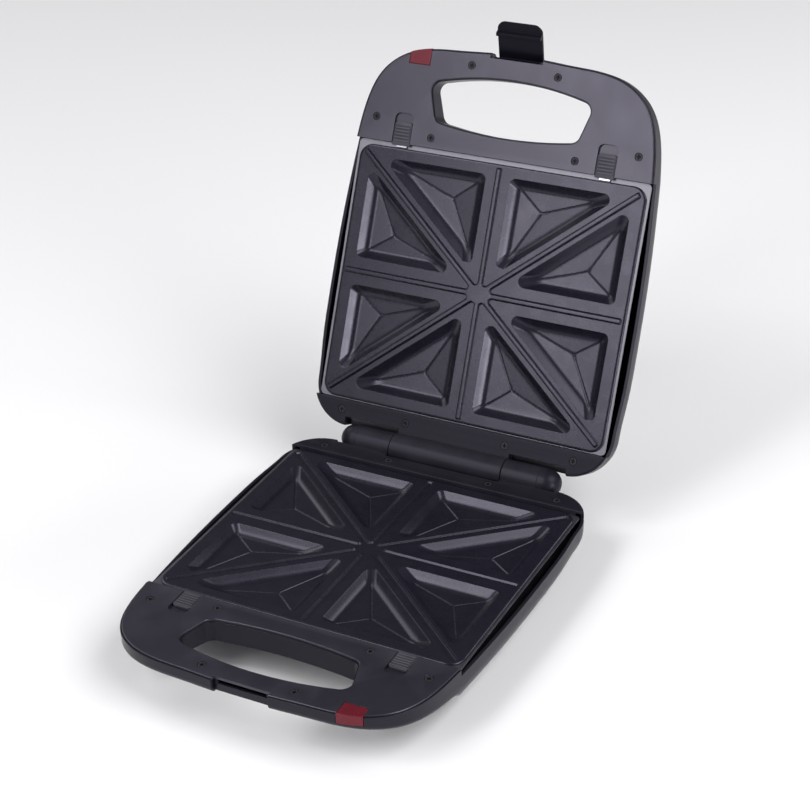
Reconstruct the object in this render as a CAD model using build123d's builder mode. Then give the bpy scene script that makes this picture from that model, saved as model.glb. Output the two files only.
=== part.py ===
from build123d import *
from math import cos, radians, sin, sqrt
import os

os.makedirs("parts", exist_ok=True)

# ---------------------------------------------------------------------------
# A four-slice sandwich toaster with two removable eight-pocket plates.
# Both halves are the same mouldings. Each half is drawn in a frame of its own:
#   x  across, v  from the hinge side of the plate towards the handle,
#   h  height over the flat land of the cooking plate, towards the other half.
# All sizes in millimetres.
# ---------------------------------------------------------------------------

# stance
OPEN_ANGLE = 115.14      # lid opening at rest, leaning back on its stop
FLOOR_H = -45.0          # what the feet stand on

# how the halves meet
PANEL_H = 2.6            # face of the plastic panels above the land
PANEL_GAP = 0.4          # left between the panels when shut
LAND_GAP = 2 * PANEL_H + PANEL_GAP
AXIS_V = -35.3           # hinge axis behind the plate
AXIS_H = 1.65            # hinge axis over the lower land

# plates
PLATE_X = 130.0
PLATE_V0, PLATE_V1 = -3.8, 212.8
PLATE_R = 12.0
STAR_V = 105.5           # centre of the star
POCKET_R = 5.5
POCKET_A = [(10.8, 204.4), (109.4, 204.4), (10.8, 123.0)]     # beside the long centre line
POCKET_B = [(118.7, 117.0), (118.7, 196.1), (22.9, 117.0)]    # beside the side edges
APEX_A = (40.3, 179.6)
APEX_B = (88.9, 139.7)
WALL_IN, WALL_DROP = 11.0, 5.2
APEX_DROP = 7.0
RIDGE_W, RIDGE_H = 3.4, 2.2
GROOVE_W, GROOVE_D = 4.4, 1.4

# covers
WALL = 2.6
RIM_H = 1.4              # cover rim round the panels
SIDE_RIM_H = -3.8        # cover rim beside the plate
BELLY_H = -38.0
BELLY_R = 28.0
HANDLE_V0 = 217.8        # handle panel starts
FRONT_V = 303.1          # front of the handle
REAR_V1 = -4.8           # rear panel ends
PANEL_T = 2.2
INSET = 1.2              # cover rim showing round the panels

# hinge
KNUCKLE_R = 12.0
MIDDLE_R = 12.7
MIDDLE_X = 51.3
SIDE_X0, SIDE_X1 = 52.2, 84.0
CAP_X = 101.5
SHAFT_R = 4.0
RUN = 0.05
NOTCH_R, NOTCH_T = 16.3, 1.8   # troughs that the other half's knuckles turn in

# screws
HANDLE_SCREWS = [(118.2, 237.2), (65.1, 226.0), (38.6, 290.1)]
REAR_SCREWS = [(46.1, -13.5), (107.5, -13.4)]
TRAY_SCREWS = [(100.0, 25.0), (100.0, 185.0)]
FEET = [(95.0, -12.0), (95.0, 188.0)]

# plate releases
RELEASE_X, RELEASE_W = 92.0, 17.2
POCKET_END = 243.3
RELEASE_TRAVEL = 3.0

# latch
LATCH_V, LATCH_H = 297.6, -7.4
LATCH_W, LATCH_L = 39.5, 34.5
LATCH_LEAN = 30.0

# lenses
LENS_X0, LENS_X1, LENS_V = -95.7, -76.7, 285.2


# ---- frames -----------------------------------------------------------------
def turned(y, z, degrees):
    a = radians(degrees)
    return y * cos(a) - z * sin(a), y * sin(a) + z * cos(a)


ORIGIN_Y = 55.9212             # puts the origin under the middle of the box
BASE_Y, BASE_Z = ORIGIN_Y, -FLOOR_H
AXIS = (BASE_Y - AXIS_V, BASE_Z + AXIS_H)
BASE = Plane(origin=(0, BASE_Y, BASE_Z), x_dir=(-1, 0, 0), z_dir=(0, 0, 1))
_y, _z = turned(BASE_Y - AXIS[0], BASE_Z + LAND_GAP - AXIS[1], -OPEN_ANGLE)
_ny, _nz = turned(0, -1, -OPEN_ANGLE)
LID = Plane(origin=(0, AXIS[0] + _y, AXIS[1] + _z), x_dir=(1, 0, 0), z_dir=(0, _ny, _nz))


def turn(frame, d):
    return frame.x_dir * d[0] + frame.y_dir * d[1] + frame.z_dir * d[2]


def at(frame, x, v, h, x_dir, z_dir):
    return Plane(
        origin=frame.origin + turn(frame, (x, v, h)),
        x_dir=turn(frame, x_dir),
        z_dir=turn(frame, z_dir),
    )


def flat(frame, h):
    """Sketch plane level with the land: its axes are x and v."""
    return at(frame, 0, 0, h, (1, 0, 0), (0, 0, 1))


def side(frame, x):
    """Sketch plane across the hinge axis: its axes are v and h."""
    return at(frame, x, 0, 0, (0, 1, 0), (1, 0, 0))


def front(frame, v):
    """Sketch plane facing the hinge: its axes are x and h."""
    return at(frame, 0, v, 0, (1, 0, 0), (0, -1, 0))


def where(frame, shape):
    """Middle of an edge or face as x, v and h."""
    p = frame.to_local_coords(shape.center(CenterOf.MASS) if isinstance(shape, Face) else shape.position_at(0.5))
    return p.X, p.Y, p.Z


SIDE_LINE = Edge.make_spline(
    [
        Vector(x, v) for x, v in (
            (137.5, 9.2), (139.2, 40), (139.9, 80), (139.6, 115), (138.4, 155), (136.4, 190),
            (134.3, 218), (130.0, 250), (120.0, 275.5), (97.5, 293.6), (50, 300.8), (0, FRONT_V),
        )
    ],
    tangents=[Vector(0, 1), Vector(-1, 0)],
)


def plan(inset=0.0):
    """Outer plan of a half, in the sketch that is open."""
    r = 36 - inset
    c = r * sqrt(0.5)
    points = []
    for n in range(33):
        p, t = SIDE_LINE.position_at(n / 32), SIDE_LINE.tangent_at(n / 32)
        points.append((p.X - t.Y * inset, p.Y + t.X * inset))
    points[-1] = (0, FRONT_V - inset)
    with BuildLine() as edge:
        Line((0, -26.8 + inset), (101.5, -26.8 + inset))
        ThreePointArc((101.5, -26.8 + inset), (101.5 + c, 9.2 - c), (101.5 + r, 9.2))
        Spline(*points, tangents=[(0, 1), (-1, 0)])
        mirror(about=Plane.YZ)
    make_face(edge.edges())


def opening(grow=0.0):
    """Hand opening of the handle, in the sketch that is open."""
    with BuildLine() as edge:
        ThreePointArc((-63.5, 240.6), (0, 235.2), (63.5, 240.6))
        Line((63.5, 240.6), (72.8, 271.2))
        ThreePointArc((72.8, 271.2), (0, 281.3), (-72.8, 271.2))
        Line((-72.8, 271.2), (-63.5, 240.6))
    face = make_face(edge.edges())
    fillet(face.vertices(), 8)
    if grow:
        offset(amount=grow, mode=Mode.REPLACE)


def finish(part, name, place):
    """Puts a piece, drawn level, where its half stands, and writes it."""
    piece = part.part.moved(place.location)
    piece.label = name
    export_step(piece, f"parts/{name}.step")


def mirrored(points):
    return [(s * x, v) for x, v in points for s in (-1, 1)]


TRAY_TOP, TRAY_FLOOR, TRAY_T = -1.6, -20.0, 0.8
HEATER_H, HEATER_R = -13.2, 3.25
UNDER = PANEL_H - PANEL_T


def box(frame, x0, x1, v0, v1, h0, h1, mode=Mode.ADD):
    """Block between two corners given in a half's own frame, in the part that is open."""
    with BuildSketch(flat(frame, h0)) as area:
        with Locations(((x0 + x1) / 2, (v0 + v1) / 2)):
            Rectangle(x1 - x0, v1 - v0)
    extrude(area.sketch, amount=h1 - h0, mode=mode)


def post(frame, points, r, h0, h1, mode=Mode.ADD):
    """Round posts or holes square to the land, in the part that is open."""
    with BuildSketch(flat(frame, h0)) as area:
        with Locations(*points):
            Circle(r)
    extrude(area.sketch, amount=h1 - h0, mode=mode)


def bar(frame, x0, x1, v, h, r, mode=Mode.ADD):
    """Round bar along x, in the part that is open."""
    with BuildSketch(side(frame, x0)) as area:
        with Locations((v, h)):
            Circle(r)
    extrude(area.sketch, amount=x1 - x0, mode=mode)


def fin(frame, x0, x1, v, h, r0, r1, a0, a1):
    """Short fin on a knuckle or in its trough, between two angles, in the part that is open."""
    a0, a1 = radians(a0), radians(a1)
    with BuildSketch(side(frame, x0)) as area:
        with BuildLine() as edge:
            Polyline(*[(v + r * cos(a), h + r * sin(a)) for r, a in ((r0, a0), (r1, a0), (r1, a1), (r0, a1))], close=True)
        make_face(edge.edges())
    extrude(area.sketch, amount=x1 - x0)


def screw(frame, points, seat, head_r, head_t, shank_r, length):
    """Pan-head screws with a cross recess, in the part that is open."""
    post(frame, points, head_r, seat, seat + head_t)
    post(frame, points, shank_r, seat, seat - length)
    with BuildSketch(flat(frame, seat + head_t - 0.9)) as area:
        with Locations(*points):
            Rectangle(head_r * 1.25, 0.9)
            Rectangle(0.9, head_r * 1.25)
    extrude(area.sketch, amount=1, mode=Mode.SUBTRACT)


def shrunk(points, inset):
    """A triangle moved in by the same distance on each side."""
    (ax, ay), (bx, by), (cx, cy) = points
    a = sqrt((bx - cx) ** 2 + (by - cy) ** 2)
    b = sqrt((ax - cx) ** 2 + (ay - cy) ** 2)
    c = sqrt((ax - bx) ** 2 + (ay - by) ** 2)
    s = a + b + c
    ix, iy = (a * ax + b * bx + c * cx) / s, (a * ay + b * by + c * cy) / s
    r = abs((bx - ax) * (cy - ay) - (cx - ax) * (by - ay)) / s
    k = (r - inset) / r
    return [(ix + (x - ix) * k, iy + (y - iy) * k) for x, y in points]


def placed(points, sx, sv):
    """A pocket's points, mirrored across the centre lines of the star."""
    return [(sx * x, STAR_V + sv * (v - STAR_V)) for x, v in points]


# ---- drawn once, level: what both halves have in common ----------------------
F = Plane.XY

# ---- outer form and cavity of the cover --------------------------------
with BuildPart() as outer:
    with BuildSketch(flat(F, RIM_H)):
        plan()
    extrude(amount=BELLY_H - RIM_H)
    fillet(outer.edges().group_by(Axis(F.origin, F.z_dir))[0], BELLY_R)
    # the handle is thinner than the body, and tapers to its front
    with BuildSketch(side(F, -160)):
        with BuildLine():
            Polyline((196, -46), (221, -19.0), (320, -8.2), (320, -46), close=True)
        corner = make_face()
        fillet(corner.vertices().sort_by_distance((221, -19.0, 0))[0], 30)
    extrude(amount=320, mode=Mode.SUBTRACT)
    under = [
        e for e in outer.edges()
        if where(F, e)[1] > 200 and where(F, e)[2] < -4 and abs(where(F, e)[2] + 10) > 0.06
    ]
    fillet(under, 5)
    with BuildSketch(flat(F, 10)):
        opening()
    extrude(amount=-60, mode=Mode.SUBTRACT)

with BuildPart() as cavity:
    with BuildSketch(flat(F, RIM_H + 1)):
        plan(WALL)
    extrude(amount=BELLY_H + WALL - RIM_H - 1)
    fillet(cavity.edges().group_by(Axis(F.origin, F.z_dir))[0], BELLY_R - WALL)
    with BuildSketch(side(F, -160)):
        with BuildLine():
            Polyline((193.4, -46), (219.6, -16.4), (320, -5.5), (320, -46), close=True)
        make_face()
    extrude(amount=320, mode=Mode.SUBTRACT)
    with BuildSketch(flat(F, 10)):
        opening(2.2)
    extrude(amount=-60, mode=Mode.SUBTRACT)

with BuildPart() as slab:
    with BuildSketch(flat(F, UNDER)):
        plan(INSET)
        with Locations((0, HANDLE_V0 + 60)):
            Rectangle(400, 120, mode=Mode.INTERSECT)
    extrude(amount=PANEL_T)
    with BuildSketch(flat(F, 10)):
        opening(1.0)
    extrude(amount=-30, mode=Mode.SUBTRACT)
    fillet([e for e in slab.edges() if abs(where(F, e)[2] - PANEL_H) < 0.01 and where(F, e)[1] > HANDLE_V0 + 1], 0.8)

# ---- heated tray -----------------------------------------------------------
with BuildPart() as tray:
    box(F, -126.5, 126.5, -0.5, 209.5, TRAY_FLOOR - TRAY_T, TRAY_TOP)
    fillet([e for e in tray.edges() if abs(abs(where(F, e)[0]) - 126.5) < 0.01 and abs(where(F, e)[2] + 11.2) < 1], 6)
    with BuildSketch(flat(F, TRAY_TOP - TRAY_T)):
        with Locations((0, (217.5 - 4.5) / 2)):
            RectangleRounded(264.4, 222.0, 4)
    extrude(amount=TRAY_T)
    with BuildSketch(flat(F, TRAY_FLOOR)):
        with Locations((0, 104.5)):
            RectangleRounded(253 - 2 * TRAY_T, 210 - 2 * TRAY_T, 5.2)
    extrude(amount=30, mode=Mode.SUBTRACT)
    post(F, mirrored(TRAY_SCREWS), 1.7, -25, -18, Mode.SUBTRACT)
    with BuildSketch(front(F, 5)):
        with Locations((-20, HEATER_H), (20, HEATER_H)):
            Circle(HEATER_R + 0.35)
    extrude(amount=8, mode=Mode.SUBTRACT)

with BuildPart() as heater:
    with BuildLine(flat(F, HEATER_H)) as route:
        FilletPolyline(
            (-20, -4), (-20, 22), (-104, 22), (-104, 188), (-32, 188), (-32, 60),
            (32, 60), (32, 188), (104, 188), (104, 22), (20, 22), (20, -4), radius=12,
        )
    with BuildSketch(front(F, -4)):
        with Locations((-20, HEATER_H)):
            Circle(HEATER_R)
    sweep(path=route.wires()[0])
    with BuildSketch(front(F, -3)):
        with Locations((-20, HEATER_H), (20, HEATER_H)):
            Circle(1.2)
    extrude(amount=9)

with BuildPart() as clips:
    for x in (-104, -32, 32, 104):
        with BuildSketch(front(F, STAR_V + 4)):
            with Locations((x, HEATER_H)):
                Circle(HEATER_R + 0.9)
            with Locations((x, (TRAY_FLOOR + 0.05 + HEATER_H) / 2)):
                Rectangle(2 * HEATER_R + 1.8, HEATER_H - TRAY_FLOOR - 0.05)
            with Locations((x, TRAY_FLOOR + 0.45)):
                Rectangle(16, 0.8)
            with Locations((x, HEATER_H)):
                Circle(HEATER_R + 0.1, mode=Mode.SUBTRACT)
            with Locations((x, (TRAY_FLOOR + 0.85 + HEATER_H) / 2)):
                Rectangle(2 * HEATER_R + 0.2, HEATER_H - TRAY_FLOOR - 0.85, mode=Mode.SUBTRACT)
        extrude(amount=8)

with BuildPart() as tray_screws:
    screw(F, mirrored(TRAY_SCREWS), TRAY_FLOOR + 0.02, 3.2, 1.5, 1.45, 9)

with BuildPart() as thermostat:
    post(F, [(0, STAR_V)], 8, TRAY_FLOOR - TRAY_T - 0.05, -29)
    box(F, -14, 14, STAR_V - 3.2, STAR_V + 3.2, -23, -22.2)
    box(F, -5.5, -4.7, STAR_V - 3, STAR_V + 3, -34, -29)
    box(F, 4.7, 5.5, STAR_V - 3, STAR_V + 3, -34, -29)

with BuildPart() as fuse:
    bar(F, 26, 38, STAR_V, -23.4, 2.2)
    bar(F, 20, 44, STAR_V, -23.4, 0.6)

# ---- pockets of a plate  -----------------------------------------------------------
pockets, cups = [], []
for sx in (-1, 1):
    for sv in (-1, 1):
        for points, apex in ((POCKET_A, APEX_A), (POCKET_B, APEX_B)):
            tri = placed(points, sx, sv)
            (ax, av), = placed([apex], sx, sv)
            with BuildPart() as pocket:
                for h, inset in ((1.0, -1.5), (-3.7, 5.0), (-WALL_DROP, WALL_IN)):
                    with BuildSketch(flat(F, h)):
                        with BuildLine():
                            Polyline(*shrunk(tri, inset), close=True)
                        make_face()
                loft(ruled=True)
                low = pocket.faces().sort_by(Axis(F.origin, F.z_dir))[0]
                tip = F.from_local_coords(Vector(ax, av, -APEX_DROP))
                loft(sections=[low, Vertex(tip.X, tip.Y, tip.Z)])
                with BuildSketch(flat(F, -12)):
                    with BuildLine():
                        Polyline(*tri, close=True)
                    rounded = make_face()
                    fillet(rounded.vertices(), POCKET_R)
                extrude(amount=14, mode=Mode.INTERSECT)
            pockets.append(pocket.part)
            with BuildPart() as cup:
                with BuildSketch(flat(F, -9.4)):
                    with BuildLine():
                        Polyline(*shrunk(tri, -1.6), close=True)
                    rounded = make_face()
                    fillet(rounded.vertices(), POCKET_R + 1.6)
                extrude(amount=8)
            cups.append(cup.part)

# ---- plate releases --------------------------------------------------------
with BuildPart() as leaves:
    for s in (-1, 1):
        with BuildSketch(side(F, s * RELEASE_X - 4.8)):
            with Locations(((214.6 + 218.9) / 2, -0.15)):
                Rectangle(4.3, 0.5)
            with Locations((218.65, (0.1 - 12.5) / 2)):
                Rectangle(0.5, 12.6)
            with Locations(((218.4 + 231) / 2, -12.25)):
                Rectangle(12.6, 0.5)
        extrude(amount=9.6)
    post(F, [(s * RELEASE_X, 227) for s in (-1, 1)], 1.5, -14, -11, Mode.SUBTRACT)

with BuildPart() as leaf_screws:
    screw(F, [(s * RELEASE_X, 227) for s in (-1, 1)], -11.98, 2.6, 1.4, 1.2, 4)

# ---- pilot light -------------------------------------------------------------
with BuildPart() as lens:
    with BuildSketch(flat(F, -6.0)):
        plan(-0.25)
        with Locations(((LENS_X0 + LENS_X1) / 2, LENS_V + 20)):
            Rectangle(LENS_X1 - LENS_X0, 40, mode=Mode.INTERSECT)
    extrude(amount=PANEL_H + 0.15 + 6.0)
    fillet([e for e in lens.edges() if abs(where(F, e)[2] - PANEL_H - 0.15) < 0.01], 0.5)
    with BuildSketch(flat(F, -7.0)):
        plan(1.6)
        with Locations((0, LENS_V)):
            Rectangle(400, 80, mode=Mode.INTERSECT)
    extrude(amount=7.0 - 0.9, mode=Mode.SUBTRACT)
    # flange that holds it under the panel
    with BuildSketch(flat(F, -0.9)):
        plan(WALL + 0.15)
        with Locations(((LENS_X0 + LENS_X1) / 2, LENS_V + 17)):
            Rectangle(LENS_X1 - LENS_X0 + 4, 40, mode=Mode.INTERSECT)
    extrude(amount=1.2)

with BuildPart() as lamp:
    bar(F, -92.5, -80.5, 288.4, -4.6, 2.6)
    bar(F, -80.6, -70.0, 287.7, -4.6, 0.4)
    bar(F, -80.6, -70.0, 289.1, -4.6, 0.4)



for half, PLACE in (("base", BASE), ("lid", LID)):
    # each half is drawn level too, and takes its place when its pieces are written
    F = Plane.XY
    is_base = half == "base"
    # this half carries the outer knuckles or the middle one
    hinge_h = AXIS_H if is_base else LAND_GAP - AXIS_H
    knuckles = [(-SIDE_X1, -SIDE_X0), (SIDE_X0, SIDE_X1)] if is_base else [(-MIDDLE_X, MIDDLE_X)]
    webs = [(-CAP_X - 0.4, -SIDE_X0), (SIDE_X0, CAP_X + 0.4)] if is_base else knuckles
    notches = [(-SIDE_X0, SIDE_X0)] if is_base else [(-CAP_X - 1.4, -MIDDLE_X), (MIDDLE_X, CAP_X + 1.4)]
    knuckle_r = KNUCKLE_R if is_base else MIDDLE_R

    # screw posts, pads and the walls round the latch recess
    with BuildPart() as posts:
        post(F, mirrored(HANDLE_SCREWS + REAR_SCREWS), 3.4, UNDER - 0.05, -37)
        post(F, mirrored(TRAY_SCREWS), 5, TRAY_FLOOR - TRAY_T - 0.05, -37.5)
        for s in (-1, 1):
            box(F, s * RELEASE_X - 5.5, s * RELEASE_X + 5.5, 221.5, 232, -30, -12.6)
        box(F, -26.1, 26.1, 295.8, 298.4, -12, UNDER - 0.05)
        if not is_base:
            for x0 in (-26.1, 20.4):
                box(F, x0, x0 + 5.7, 293.6, 300.6, -12, UNDER - 0.05)
            box(F, -26.1, 26.1, 291.4, 293.8, -12, UNDER - 0.05)
        add(outer.part, mode=Mode.INTERSECT)

    with BuildPart() as cover:
        add(outer.part)
        add(cavity.part, mode=Mode.SUBTRACT)
        box(F, -160, 160, REAR_V1, HANDLE_V0, SIDE_RIM_H, 10, Mode.SUBTRACT)
        with BuildSketch(flat(F, UNDER - 0.05)):
            plan(INSET - 0.15)
        extrude(amount=5, mode=Mode.SUBTRACT)
        add(posts.part)
        if is_base:
            post(F, mirrored(FEET), 10.5, -25, BELLY_H - 0.7)
            add(cavity.part, mode=Mode.SUBTRACT)
            add(posts.part)
            post(F, mirrored(FEET), 5, -37, -33.2)
        # screw holes
        post(F, mirrored(HANDLE_SCREWS + REAR_SCREWS), 1.55, 1, -6.5, Mode.SUBTRACT)
        post(F, mirrored(TRAY_SCREWS), 1.55, -19, -30, Mode.SUBTRACT)
        post(F, [(s * RELEASE_X, 227) for s in (-1, 1)], 1.3, -12, -16.2, Mode.SUBTRACT)
        if is_base:
            post(F, mirrored(FEET), 2.55, -46, -34.4, Mode.SUBTRACT)
            # cord gland
            with BuildSketch(front(F, -8)):
                with Locations((78, -21)):
                    Circle(5.5)
            extrude(amount=30, mode=Mode.SUBTRACT)
        # room for the hinge
        for x0, x1 in webs:
            box(F, x0 - 0.2, x1 + 0.2, -40, -21.8, -11.0, 8, Mode.SUBTRACT)
        for x0, x1 in notches:
            bar(F, x0 - NOTCH_T - 0.2, x1 + NOTCH_T + 0.2, AXIS_V, hinge_h, NOTCH_R + NOTCH_T + 0.2, Mode.SUBTRACT)
        # latch recess in the front wall
        if is_base:
            box(F, -23.5, 23.5, 298.4, 320, -20, 8, Mode.SUBTRACT)
            box(F, -20.4, 20.4, 294.6, 299.6, -3.4, 3, Mode.SUBTRACT)
            box(F, -23.5, 23.5, 294.0, 320, -20, -9.4, Mode.SUBTRACT)
        else:
            box(F, -23.5, 23.5, 300.0, 320, -20, 8, Mode.SUBTRACT)
            box(F, -20.4, 20.4, 293.8, 320, -20, 8, Mode.SUBTRACT)
            bar(F, -23.2, 23.2, LATCH_V, LATCH_H, 1.52, Mode.SUBTRACT)
        # lens window
        box(F, LENS_X0 - 0.3, LENS_X1 + 0.3, 288.6, 320, -6.3, 8, Mode.SUBTRACT)
    finish(cover, f"{half}_cover", PLACE)

    # ---- panels --------------------------------------------------------------
    with BuildPart() as handle_panel:
        add(slab.part)
        box(F, -130, 130, HANDLE_V0, HANDLE_V0 + 2, -14, UNDER)
        for s in (-1, 1):
            x = s * RELEASE_X
            box(F, x - 8.4, x + 8.4, HANDLE_V0 - 1, HANDLE_V0 + 2, -15, UNDER, Mode.SUBTRACT)
            # pocket that the release slides in
            with BuildSketch(flat(F, -1.45)):
                with Locations((x, 233.6)):
                    RectangleRounded(20.4, 22.4, 4)
            extrude(amount=UNDER + 1.45 + 0.1)
            with BuildSketch(flat(F, 0.15)):
                with Locations((x, (HANDLE_V0 - 12 + POCKET_END) / 2)):
                    RectangleRounded(RELEASE_W, POCKET_END - HANDLE_V0 + 12, 5)
            extrude(amount=5, mode=Mode.SUBTRACT)
            box(F, x - 3.4, x + 3.4, 221, 227.4 + RELEASE_TRAVEL, -3, 1, Mode.SUBTRACT)
        post(F, mirrored(HANDLE_SCREWS), 3.4, 1.0, 6, Mode.SUBTRACT)
        post(F, mirrored(HANDLE_SCREWS), 1.7, -1, 6, Mode.SUBTRACT)
        box(F, -23.5, 23.5, 298.2, 320, -5, 8, Mode.SUBTRACT)
        box(F, LENS_X0 - 0.3, LENS_X1 + 0.3, LENS_V - 0.3, 320, -5, 8, Mode.SUBTRACT)
    finish(handle_panel, f"{half}_handle_panel", PLACE)

    with BuildPart() as trough:
        for x0, x1 in notches:
            bar(F, x0 - NOTCH_T, x1 + NOTCH_T, AXIS_V, hinge_h, NOTCH_R + NOTCH_T)
        for x0, x1 in webs:
            box(F, x0, x1, -40, -22, -10.8, 3)
        add(outer.part, mode=Mode.INTERSECT)
        box(F, -160, 160, -60, 40, UNDER + 0.5, 30, Mode.SUBTRACT)

    with BuildPart() as rear_panel:
        with BuildSketch(flat(F, UNDER)):
            plan(INSET)
            with Locations((0, REAR_V1 - 50)):
                Rectangle(400, 100, mode=Mode.INTERSECT)
        extrude(amount=PANEL_T)
        fillet([e for e in rear_panel.edges() if abs(where(F, e)[2] - PANEL_H) < 0.01], 0.6)
        box(F, -127, 127, REAR_V1 - 2, REAR_V1, -10, UNDER)
        add(trough.part)
        for x0, x1 in notches:
            bar(F, x0, x1, AXIS_V, hinge_h, NOTCH_R, Mode.SUBTRACT)
        for x0, x1 in knuckles:
            bar(F, x0, x1, AXIS_V, hinge_h, knuckle_r)
        if is_base:
            for s in (-1, 1):
                x0, x1 = sorted((s * SIDE_X1, s * (CAP_X + 0.6)))
                bar(F, x0, x1, AXIS_V, hinge_h, KNUCKLE_R + 0.15, Mode.SUBTRACT)
        # fins that meet when the lid is fully open
        for x0 in (-42.0, 30.0):
            if is_base:
                fin(F, x0, x0 + 12, AXIS_V, hinge_h, 13.4, NOTCH_R + 0.6, -22, -11)
            else:
                fin(F, x0, x0 + 12, AXIS_V, hinge_h, MIDDLE_R - 0.8, NOTCH_R - 0.6, 22.4 + OPEN_ANGLE, 34 + OPEN_ANGLE)
        bar(F, -110, 110, AXIS_V, hinge_h, SHAFT_R + RUN, Mode.SUBTRACT)
        post(F, mirrored(REAR_SCREWS), 3.4, 1.0, 6, Mode.SUBTRACT)
        post(F, mirrored(REAR_SCREWS), 1.7, -1, 6, Mode.SUBTRACT)
    finish(rear_panel, f"{half}_hinge_panel", PLACE)

    with BuildPart() as panel_screws:
        screw(F, mirrored(HANDLE_SCREWS + REAR_SCREWS), 1.0, 3.05, 1.3, 1.45, 7)
    finish(panel_screws, f"{half}_panel_screws", PLACE)

    # ---- pieces that are the same in both halves ---------------------------------
    with BuildPart() as heat_tray_here:
        add(tray.part)
    finish(heat_tray_here, f"{half}_heat_tray", PLACE)

    with BuildPart() as heating_element_here:
        add(heater.part)
    finish(heating_element_here, f"{half}_heating_element", PLACE)

    with BuildPart() as element_clips_here:
        add(clips.part)
    finish(element_clips_here, f"{half}_element_clips", PLACE)

    with BuildPart() as tray_screws_here:
        add(tray_screws.part)
    finish(tray_screws_here, f"{half}_tray_screws", PLACE)

    with BuildPart() as thermostat_here:
        add(thermostat.part)
    finish(thermostat_here, f"{half}_thermostat", PLACE)

    with BuildPart() as thermal_fuse_here:
        add(fuse.part)
    finish(thermal_fuse_here, f"{half}_thermal_fuse", PLACE)

    with BuildPart() as catch_springs_here:
        add(leaves.part)
    finish(catch_springs_here, f"{half}_catch_springs", PLACE)

    with BuildPart() as catch_screws_here:
        add(leaf_screws.part)
    finish(catch_screws_here, f"{half}_catch_screws", PLACE)

    with BuildPart() as lens_here:
        add(lens.part)
    finish(lens_here, f"{half}_lens", PLACE)

    with BuildPart() as neon_lamp_here:
        add(lamp.part)
    finish(neon_lamp_here, f"{half}_neon_lamp", PLACE)

    # ---- cooking plate -----------------------------------------------------------
    with BuildPart() as star:
        with BuildSketch(flat(F, -GROOVE_D if is_base else -0.5)):
            w = GROOVE_W if is_base else RIDGE_W
            with Locations((0, STAR_V)):
                for turned_by in (39.56, -39.56):
                    Rectangle(340, w, rotation=turned_by)
                Rectangle(300, w)
                Rectangle(w, 260)
                Circle(6.5)
            with Locations((0, 104.5)):
                RectangleRounded(2 * PLATE_X - 2.8, 216.6 - 2.8, PLATE_R - 1.4, mode=Mode.INTERSECT)
        extrude(amount=GROOVE_D + 1 if is_base else RIDGE_H + 0.5)

    with BuildPart() as plate:
        with BuildSketch(flat(F, -1.5)):
            with Locations((0, (PLATE_V0 + PLATE_V1) / 2)):
                RectangleRounded(2 * PLATE_X, PLATE_V1 - PLATE_V0, PLATE_R)
        extrude(amount=1.5)
        fillet([e for e in plate.edges() if abs(where(F, e)[2]) < 0.01], 1.1)
        with BuildSketch(flat(F, -3.2)):
            with Locations((0, 104.5)):
                RectangleRounded(250, 207, 6)
        extrude(amount=2)
        for cup_part in cups:
            add(cup_part)
        for pocket_part in pockets:
            add(pocket_part, mode=Mode.SUBTRACT)
        add(star.part, mode=Mode.SUBTRACT if is_base else Mode.ADD)
        for s in (-1, 1):
            box(F, s * RELEASE_X - 5, s * RELEASE_X + 5, PLATE_V1 - 2, 215.6, -1.5, -0.6)
    finish(plate, f"{half}_cooking_plate", PLACE)

    for s in (-1, 1):
        x = s * RELEASE_X
        # the base is seen turned round, so its x runs the other way
        hand = "right" if (s > 0) != is_base else "left"
        with BuildPart() as release:
            with BuildSketch(flat(F, 0.35)):
                with Locations((x, 225.8)):
                    RectangleRounded(16.4, 20.0, 3.5)
                with Locations((x, 219.8)):
                    Rectangle(16.4, 8.0)
            extrude(amount=1.75)
            for n in range(6):
                box(F, x - 6.8, x + 6.8, 219.4 + 2.7 * n, 220.6 + 2.7 * n, 2.0, 2.75)
            box(F, x - 3, x + 3, 223.2, 226.8, -2, 0.4)
            box(F, x - 7.4, x + 7.4, 223.0, 227.0, -6, -1.65)
            box(F, x - 7.4, x - 5.6, 217.0, 224.0, -6, -4)
            box(F, x + 5.6, x + 7.4, 217.0, 224.0, -6, -4)
            box(F, x - 7.4, x + 7.4, 217.0, 217.9, -6, -4)
        finish(release, f"{half}_release_{hand}", PLACE)

    if is_base:
        with BuildPart() as feet:
            post(F, mirrored(FEET), 9, FLOOR_H, BELLY_H - 0.75)
            chamfer([e for e in feet.edges() if abs(where(F, e)[2] - FLOOR_H) < 0.01], 1.0)
            post(F, mirrored(FEET), 2.5, BELLY_H - 0.8, -34.6)
        finish(feet, "feet", PLACE)

        with BuildPart() as shaft:
            bar(F, -87.5, 87.5, AXIS_V, hinge_h, SHAFT_R)
        finish(shaft, "hinge_shaft", PLACE)

        with BuildPart() as caps:
            for s in (-1, 1):
                # half profile across the axis, turned round the axis
                top = at(F, 0, AXIS_V, hinge_h, (1, 0, 0), (0, -1, 0))
                with BuildSketch(top):
                    with BuildLine():
                        Polyline(
                            (s * 89, KNUCKLE_R), (s * (SIDE_X1 + 0.2), KNUCKLE_R), (s * (SIDE_X1 + 0.2), 0),
                            (s * CAP_X, 0),
                        )
                        EllipticalCenterArc(
                            (s * 89, 0), CAP_X - 89, KNUCKLE_R,
                            start_angle=0 if s > 0 else 90, arc_size=90,
                        )
                    make_face()
                revolve(axis=Axis(top.origin, top.x_dir))
            bar(F, -88, 88, AXIS_V, hinge_h, SHAFT_R + 0.1, Mode.SUBTRACT)
        finish(caps, "hinge_caps", PLACE)

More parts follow.
